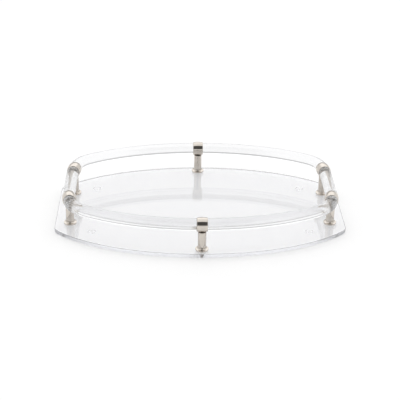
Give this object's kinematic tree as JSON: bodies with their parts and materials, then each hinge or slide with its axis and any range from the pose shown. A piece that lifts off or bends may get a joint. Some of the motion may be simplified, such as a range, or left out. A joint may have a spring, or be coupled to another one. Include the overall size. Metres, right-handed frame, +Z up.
{
  "type": "dresser vanity tray",
  "caption": "Clear oval gallery tray with straight ends: clear plate, polished metal posts and a clear rod rail that forms two side handles.",
  "frame": {"origin": "on the surface the tray stands on, under the middle of the plate", "axes": "+X along the tray's length, towards the right handle; -Y is the front; +Z up"},
  "size_m": [0.457, 0.305, 0.0626],
  "materials": {
    "clear_acrylic": "polished",
    "polished_nickel": "polished",
    "screw_steel": "satin",
    "clear_rubber": "satin"
  },
  "bodies": {
    "root": {"back_rail": "clear_acrylic", "base_plate": "clear_acrylic", "bumper_foot_back_left": "clear_rubber", "bumper_foot_back_right": "clear_rubber", "bumper_foot_front_left": "clear_rubber", "bumper_foot_front_right": "clear_rubber", "front_rail": "clear_acrylic", "handle_left": "clear_acrylic", "handle_right": "clear_acrylic", "post_column_back_centre": "polished_nickel", "post_column_back_left": "polished_nickel", "post_column_back_right": "polished_nickel", "post_column_front_centre": "polished_nickel", "post_column_front_left": "polished_nickel", "post_column_front_right": "polished_nickel", "post_foot_back_centre": "polished_nickel", "post_foot_back_left": "polished_nickel", "post_foot_back_right": "polished_nickel", "post_foot_front_centre": "polished_nickel", "post_foot_front_left": "polished_nickel", "post_foot_front_right": "polished_nickel", "post_screw_back_centre": "screw_steel", "post_screw_back_left": "screw_steel", "post_screw_back_right": "screw_steel", "post_screw_front_centre": "screw_steel", "post_screw_front_left": "screw_steel", "post_screw_front_right": "screw_steel", "rail_ring_back_centre": "polished_nickel", "rail_ring_back_left": "polished_nickel", "rail_ring_back_right": "polished_nickel", "rail_ring_front_centre": "polished_nickel", "rail_ring_front_left": "polished_nickel", "rail_ring_front_right": "polished_nickel"}
  },
  "joints": []
}
